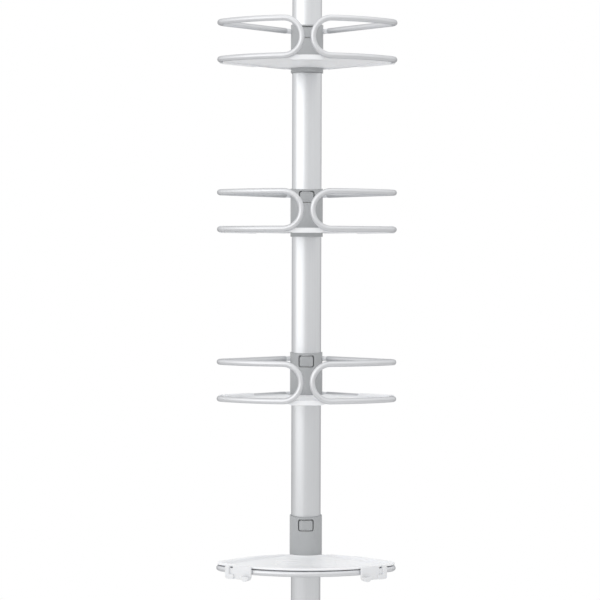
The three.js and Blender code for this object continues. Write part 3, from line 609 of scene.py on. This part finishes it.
def tubeMesh(path):
    radius, bore, edge, deep = bar["radius"], bar["bore"], bar["edge"], bar["boreDepth"]
    first, last = (path[1] - path[0]).normalized(), (path[-1] - path[-2]).normalized()
    line = [path[0] + first * d for d in (deep, 0, 0, edge)] + path[1:-1]
    line += [path[-1] - last * d for d in (edge, 0, 0, deep)]
    opening = [bore, bore, radius - edge, radius]
    sizes = opening + [radius] * (len(path) - 2) + opening[::-1]
    between = [(path[i + 1] - path[i - 1]).normalized() for i in range(1, len(path) - 1)]
    heads = [first] * len(opening) + between + [last] * len(opening)
    rings = []
    side = Vector((0, 0, 1))
    for point, size, ahead in zip(line, sizes, heads):
        side = (side - ahead * side.dot(ahead)).normalized()
        other = ahead.cross(side)
        rings.append([point + (side * math.cos(t) + other * math.sin(t)) * size
                      for t in turnsOf(bar["sides"])])
    return addLengthMap(loft(rings), line, bar["sides"])


put("rimTube", tubeMesh(rimPath()), tubeFinish, "shelf_4", ["rim_tube"], shelfLevels[flatShelf])
for side, word in ((-1, "left"), (1, "right")):
    guard = tubeMesh(guardPath(side))
    for number in baskets:
        put(f"guardTube{word.capitalize()}{number}", guard, tubeFinish, f"shelf_{number}",
            [f"guard_{word}_{number}"], shelfLevels[number])
print("tubes made")

# trays
tray = {
    "clear": 5.05, "thick": 2.6, "rimWall": 2.2, "rimUp": 1.2, "skirt": 4.7, "back": 13, "notch": 28.5,
    "rimEdge": 0.7, "rimEdgeIn": 0.2, "skirtEdge": 0.3, "floorFillet": 0.8, "soft": 0.3,
    "innerRim": ((0.5, 0), (0.1, -0.2), (-0.1, -0.6)),  # (out, up) from the rim's inner top edge
    "innerFoot": ((-0.3, 0.7), (-0.6, 0.2), (-1.2, 0)),  # the same, from where the rim meets the floor
    "lipUp": 1.6, "lipDown": 6.8, "lipBack": 3.8, "lipHalf": 34, "lipFull": 0.65,
    "lipRound": 1.4, "lipRoundLost": 0.8, "lipSunk": 0.3, "lipSteps": 48,
    "wingStart": 89.5, "wingFront": -118, "wingUp": 6, "wingDown": 6, "wingOut": 5.95, "wingIn": -7.25,
    "wingRound": 1.8, "wingSlant": 7, "wingLead": 1.5, "wingSteps": 40,
    "rows": 4, "firstRow": 55, "rowSpacing": 23.6,
    "slotInner": 9, "slotOuter": 52, "slotWidth": 3.2, "slotEnd": 1.59,
    "tipSteps": 14, "legSteps": 20, "frontSteps": 72,
}
trayOuter = -tray["clear"]
trayInner = trayOuter - tray["rimWall"]
beyond = {"side": 200, "back": 60, "down": 30, "up": 40}  # how far the trays' back cutters reach


def shelfRing(offset, z, sink):  # the shelf's plan, moved out from the tubes' middle line
    apex = (0.0, (legOffset + offset) / legNormal.y)
    tip, steps = bar["tip"] + offset, tray["legSteps"]
    right = arc(tipCentre.x, tipCentre.y, tip, tipFrom, tipTo, tray["tipSteps"])
    left = arc(-tipCentre.x, tipCentre.y, tip, -math.pi - tipTo, -math.pi - tipFrom, tray["tipSteps"])
    leg = [(right[0][0] * i / steps, apex[1] + (right[0][1] - apex[1]) * i / steps) for i in range(1, steps)]
    front = arc(0, 0, bar["front"] + offset, tipTo, -math.pi - tipTo, tray["frontSteps"])[1:-1]
    ring = [apex] + leg + right + front + left + [(-x, y) for x, y in leg[::-1]]
    return [(x, y, z - sink(y, z)) for x, y in ring]


def shelfShell(profile, sink=lambda y, z: 0.0):  # sink lowers the shell towards the back
    return loft([shelfRing(o, z, sink) for o, z in profile])


def skirtProfile(underFloor, skirt):  # from under the floor down the rim's inside and up its outside
    edge, fillet = tray["skirtEdge"], tray["floorFillet"]
    return [
        (trayInner - fillet, underFloor), (trayInner, underFloor - fillet), (trayInner, -skirt + edge),
        (trayInner + edge, -skirt), (trayOuter - edge, -skirt), (trayOuter, -skirt + edge),
    ]


def trayCutters(back, bottom, top):  # the back, the notch for the collar and the drain slots
    low, high = -beyond["down"], beyond["up"]
    cutters = [block((-beyond["side"], beyond["side"]), (-back, beyond["back"]), (low, high)),
               prism(circle(tray["notch"]), low, high)]
    length = tray["slotOuter"] - tray["slotInner"]
    slot = roundedOutline(length, tray["slotWidth"], tray["slotEnd"])
    for row in range(tray["rows"]):
        y = -tray["firstRow"] - row * tray["rowSpacing"]
        for side in (-1, 1):
            middle = side * (tray["slotInner"] + length / 2)
            cutters.append(prism([(middle + x, y + v) for x, v in slot], bottom - overrun, top + overrun))
    return cutters


def wingMesh(side):
    t = tray
    section = roundedSection(t["wingIn"], t["wingOut"], -t["wingDown"], t["wingUp"], t["wingRound"])
    startRun = (t["wingStart"] - legX) / math.sin(legTurn)
    path = [legPoint(side, startRun, 0), legPoint(side, startRun + t["wingLead"], 0)]
    path += [p for p in levelRun(side, 0, forward, t["wingSteps"])
             if abs(p.x) >= t["wingStart"] and p.y >= t["wingFront"]]
    rings = []
    for i, point in enumerate(path):
        ahead = (path[min(i + 1, len(path) - 1)] - path[max(i - 1, 0)]).normalized()
        outward = Vector((point.x, point.y, 0))
        across = (outward - ahead * outward.dot(ahead)).normalized()
        slant = t["wingSlant"] / (t["wingUp"] + t["wingDown"]) if i < 2 else 0.0  # the wing starts on a slope
        rings.append([point + across * s + Vector((0, 0, u)) + ahead * slant * (u + t["wingDown"])
                      for s, u in section])
    return loft(rings)


def lipMesh():
    t, sunk, steps = tray, tray["lipSunk"], tray["lipSteps"]
    rimFace, face = bar["front"] + trayOuter, bar["front"] - t["lipBack"]
    turn = math.asin(t["lipHalf"] / bar["front"])
    rings = []
    for i in range(steps + 1):
        place = forward - turn + 2 * turn * i / steps
        fade = eased((abs(2 * i / steps - 1) - t["lipFull"]) / (1 - t["lipFull"]))  # ends sink into the rim
        down = t["lipDown"] + (t["skirt"] - sunk - t["lipDown"]) * fade
        up = t["lipUp"] + (t["rimUp"] - sunk - t["lipUp"]) * fade
        outer = face + (rimFace - sunk - face) * fade
        rounding = t["lipRound"] * (1 - t["lipRoundLost"] * fade)
        section = roundedSection(bar["front"] + trayInner + sunk, outer, -down, up, rounding)
        rings.append([(s * math.cos(place), s * math.sin(place), u) for s, u in section])
    return loft(rings)


def basketTrayMesh():
    profile = skirtProfile(-tray["thick"], tray["skirt"])
    profile += highCorner(trayOuter, tray["rimUp"], tray["rimEdge"], tray["rimEdgeIn"])
    profile += [(trayInner + o, tray["rimUp"] + up) for o, up in tray["innerRim"]]
    profile += [(trayInner + o, up) for o, up in tray["innerFoot"]]
    return joinCut(shelfShell(profile), adds=[wingMesh(-1), wingMesh(1), lipMesh()],
                   cuts=trayCutters(tray["back"], -tray["thick"], 0))


basketTray = softened(basketTrayMesh(), tray["soft"])
for number in baskets:
    put(f"basketTray{number}", basketTray, whiteFinish, f"shelf_{number}",
        [f"tray_{number}"], shelfLevels[number])

flat = {
    "floor": 4.2, "thick": 2.5, "skirt": 3, "soft": 0.3,
    "flangeBottom": 6.0, "flangeTop": 9.4, "flangeOut": 3.2, "rootFillet": 0.6, "underEdge": 0.4,
    "round": 1.0, "roundIn": 0.3,
    "innerRim": ((2.2, 0), (1.2, -0.25), (0.5, -0.9)), "innerFoot": ((-0.3, 1.2), (-0.8, 0.35), (-1.8, 0)),
    "back": 17, "backUp": 6.1, "backHalf": 90, "backRoot": 1, "backPast": 3,  # backPast is cut off again
    "rootIn": 0.2, "topIn": 0.05,
    "sinkTop": 3.0, "sinkUnder": 0.8, "sinkRun": 45,
}


def flangeSink(y, z):  # the flange dies away into the low back edge
    near = 1 - eased((-y - flat["back"]) / flat["sinkRun"])
    under, top = flat["flangeBottom"], flat["flangeTop"]
    share = min(1, max(0, (z - under) / (top - under)))
    low = min(1, max(0, (z - flat["floor"]) / (under - flat["floor"])))
    return near * (flat["sinkUnder"] * low + (flat["sinkTop"] - flat["sinkUnder"]) * share)


def flatTrayMesh():
    floor, top, under, out = flat["floor"], flat["flangeTop"], flat["flangeBottom"], flat["flangeOut"]
    fillet, edge, underFloor = flat["rootFillet"], flat["underEdge"], flat["floor"] - flat["thick"]
    profile = skirtProfile(underFloor, flat["skirt"])
    profile += [(trayOuter, under - fillet), (trayOuter + fillet, under)]
    profile += [(out - edge, under), (out, under + edge)]
    profile += highCorner(out, top, flat["round"], flat["roundIn"])
    profile += [(trayInner + o, top + up) for o, up in flat["innerRim"]]
    profile += [(trayInner + o, floor + up) for o, up in flat["innerFoot"]]
    heights, wall = (floor - flat["backRoot"], flat["backUp"]), tray["rimWall"]
    depths = (-flat["back"] - wall, flat["backPast"] - flat["back"])
    back = block((-flat["backHalf"], flat["backHalf"]), depths, heights)
    inside = shelfShell([(trayOuter, underFloor + flat["rootIn"]), (trayOuter, top - flat["topIn"])])
    back = joinCut(back, adds=[prism(circle(tray["notch"] + wall), *heights)], within=[inside])
    cuts = trayCutters(flat["back"], underFloor, floor)
    return joinCut(shelfShell(profile, flangeSink), adds=[back], cuts=cuts)


flatTray = softened(flatTrayMesh(), flat["soft"])
put("flatTray", flatTray, whiteFinish, "shelf_4", ["tray_4"], shelfLevels[flatShelf])
print("trays made")

# hook clips
clip = {
    "turn": 0.576, "half": 7.5, "wall": 0.6, "gap": 0.5, "upper": 1.75, "lower": -2.3,  # turns in radians
    "plateThick": 3.2, "plateTop": 9.2, "plateBottom": 12.7, "plateLeft": 10.7, "corner": 3,
    "prongThick": 6, "prongLeft": 24.1, "prongWidth": 7.2, "prongFloor": 5.2, "prongTop": 7.4,
    "tabMiddle": 17.8, "tabRadius": 7.8, "tabBottom": 14.2, "tabReach": 9, "tabLip": 2.4,
    "webTop": 4.6, "webThick": 2.6, "edge": 0.5, "edgeSegments": 3, "edgeAngle": 40,
    "overlap": 0.3, "inset": 0.15,  # the forms run into each other, and no two of their faces fall together
    "ringSteps": 30, "cornerSteps": 6, "tabSteps": 20,
}


def clipMesh(side):
    c, steps, overlap, inset = clip, clip["tabSteps"], clip["overlap"], clip["inset"]
    hold, centre = bar["radius"] + c["gap"], -bar["front"]
    face, turns = centre - hold, (math.pi - c["lower"], math.pi - c["upper"])
    ring = arc(centre, 0, hold + c["wall"], *turns, c["ringSteps"])
    ring += arc(centre, 0, hold, *turns[::-1], c["ringSteps"])

    left, corner, bottom, floor = c["plateLeft"], c["corner"], c["plateBottom"], -c["prongFloor"]
    slot = c["prongWidth"] - c["prongLeft"]  # the open side of the prong
    prong = [(corner - left, -bottom), (corner - left, floor), (slot, floor), (slot, c["prongTop"]),
             (-c["prongLeft"], c["prongTop"])]
    prong += arc(corner - c["prongLeft"], corner - bottom, corner, math.pi, 1.5 * math.pi, c["cornerSteps"])
    web = [(slot - overlap, floor - overlap), (overlap - left, floor - overlap),
           (overlap - left, c["webTop"]), (slot - overlap, c["webTop"])]

    middle, low, radius, thick = c["tabMiddle"], c["tabRadius"] - c["tabBottom"], c["tabRadius"], c["tabLip"]
    lip = arc(middle, low, radius, math.pi, 2 * math.pi, steps)
    tab = radius - 2 * inset
    meet = math.pi + math.asin((bottom + low) / tab)  # the plate's lower edge runs into the round tab
    plate = [(-left, c["plateTop"]), (-left, -bottom)] + arc(middle, low, tab, meet, 2 * math.pi, steps)
    plate += [(middle + tab, c["plateTop"])]
    trough = arc(middle, low, radius - inset, math.pi, 2 * math.pi, steps)
    trough += arc(middle, low, radius - thick, 2 * math.pi, math.pi, steps)

    lipFront = face - c["tabReach"] - thick
    forms = [
        faceOn(plate, 0, face - c["plateThick"], face + overlap),
        faceOn(prong, 0, face - c["prongThick"], face + overlap / 2),
        faceOn(trough, 0, lipFront + overlap, face + overlap / 2), faceOn(lip, 0, lipFront, lipFront + thick),
        faceOn(web, 0, face - c["webThick"], face + overlap / 3),
    ]
    mesh = joinCut(sideOn(ring, -c["half"], c["half"]),
                   adds=[softened(form, c["edge"], c["edgeSegments"], c["edgeAngle"]) for form in forms])
    mesh.transform(Matrix.Diagonal((-side, 1, 1, 1)))
    mesh.transform(Matrix.Rotation(side * c["turn"], 4, "Z"))
    if side > 0:
        mesh.flip_normals()
    return mesh


for side, word in ((-1, "left"), (1, "right")):
    put(f"hookClip{word.capitalize()}", clipMesh(side), clipFinish, f"hook_{word}",
        [f"hook_clip_{word}"], shelfLevels[flatShelf])
print("clips made")

# finishes of the parts that keep their own mesh
innerFinishes = {
    "lock_liner": acetalFinish, "lock_lever": acetalFinish, "lock_pin": steelFinish,
    "lock_spring": steelFinish, "glide_bush": acetalFinish, "spring_seat": acetalFinish,
    "tension_spring": steelFinish,
}
for number in shelfLevels:
    innerFinishes.update({f"brake_lever_{number}": acetalFinish, f"lever_pin_{number}": steelFinish,
                          f"brake_spring_{number}": steelFinish})
for name, finish in innerFinishes.items():
    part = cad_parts[name]
    part.data.materials.clear()
    part.data.materials.append(finish)
print("inner parts finished")

# floor and light, in metres
studio = {
    "middleRadius": 0.4, "litRadius": 0.9, "whiteRadius": 2.2, "floorRadius": 40, "sides": 64,
    "floor": "e8e8e8", "world": "ffffff",
    "ambient": 0.95, "mirrored": 0.96, "mirroredFloor": 0.74,  # the set as matt and shining things meet it
    "key": {"place": (-2.2, -2.45, 1.7), "aim": (0, 0, 1.2), "size": (3.6, 2.7), "power": 25},
    "top": {"place": (0.2, -0.5, 3.6), "aim": (0, 0, 1.0), "size": (2.8, 2.8), "power": 9},
}


def floorMesh():
    count = studio["sides"]
    radii = (studio["middleRadius"], studio["whiteRadius"], studio["floorRadius"])
    points = [(x, y, 0.0) for radius in radii for x, y in circle(radius, count)]
    faces = [tuple(range(count))]
    for a in range(0, count * (len(radii) - 1), count):
        b = a + count
        faces += [(a + i, b + i, b + (i + 1) % count, a + (i + 1) % count) for i in range(count)]
    mesh = bpy.data.meshes.new("floor")
    mesh.from_pydata(points, [], faces)
    return mesh


def seamlessPaper(name):
    # Matt paper that keeps the shadow near the foot and fades to plain white further out
    material, tree, surface = startFinish(name, {"Roughness": 0.9, "Base Color": hexColor(studio["floor"])})
    coords = addNode(tree, "TexCoord")
    distance = addNode(tree, "VectorMath", {0: coords.outputs["Object"]}, operation="LENGTH")
    fade = addNode(tree, "MapRange", {"Value": distance.outputs["Value"], "From Min": studio["litRadius"],
                                      "From Max": studio["whiteRadius"]}, interpolation_type="SMOOTHSTEP")
    rays = addNode(tree, "LightPath")
    seen = rays.outputs["Is Camera Ray"]
    for kind in ("Is Glossy Ray", "Is Transmission Ray"):
        seen = addNode(tree, "Math", {0: seen, 1: rays.outputs[kind]}, operation="MAXIMUM").outputs["Value"]
    share = addNode(tree, "Math", {0: seen, 1: fade.outputs["Result"]}, operation="MULTIPLY")
    glow = remap(tree, rays.outputs["Is Camera Ray"], studio["mirroredFloor"], 1.0)
    white = addNode(tree, "Emission", {"Color": hexColor(studio["world"]), "Strength": glow})
    mix = addNode(tree, "MixShader", {0: share.outputs["Value"], 1: surface.outputs["BSDF"],
                                      2: white.outputs["Emission"]})
    output = next(n for n in tree.nodes if n.type == "OUTPUT_MATERIAL")
    tree.links.new(mix.outputs["Shader"], output.inputs["Surface"])
    return material


floor = linked(floorMesh(), "floor")
floor.data.materials.append(seamlessPaper("matt white paper"))

world = bpy.data.worlds.new("studio")
scene.world = world
world.use_nodes = True
tree = world.node_tree
tree.nodes.clear()
rays = addNode(tree, "LightPath")
mirrored = remap(tree, rays.outputs["Is Glossy Ray"], studio["ambient"], studio["mirrored"])
strength = remap(tree, rays.outputs["Is Camera Ray"], mirrored, 1.0)
backdrop = addNode(tree, "Background", {"Color": hexColor(studio["world"]), "Strength": strength})
addNode(tree, "OutputWorld", {"Surface": backdrop.outputs["Background"]})

for name in ("key", "top"):
    lamp = studio[name]
    data = bpy.data.lights.new(name, "AREA")
    data.shape, data.energy = "RECTANGLE", lamp["power"]
    data.size, data.size_y = lamp["size"]
    light = bpy.data.objects.new(name, data)
    scene.collection.objects.link(light)
    light.location = lamp["place"]
    light.rotation_euler = (Vector(lamp["aim"]) - Vector(lamp["place"])).to_track_quat("-Z", "Y").to_euler()
scene.view_settings.view_transform = "Standard"
print("studio ready")
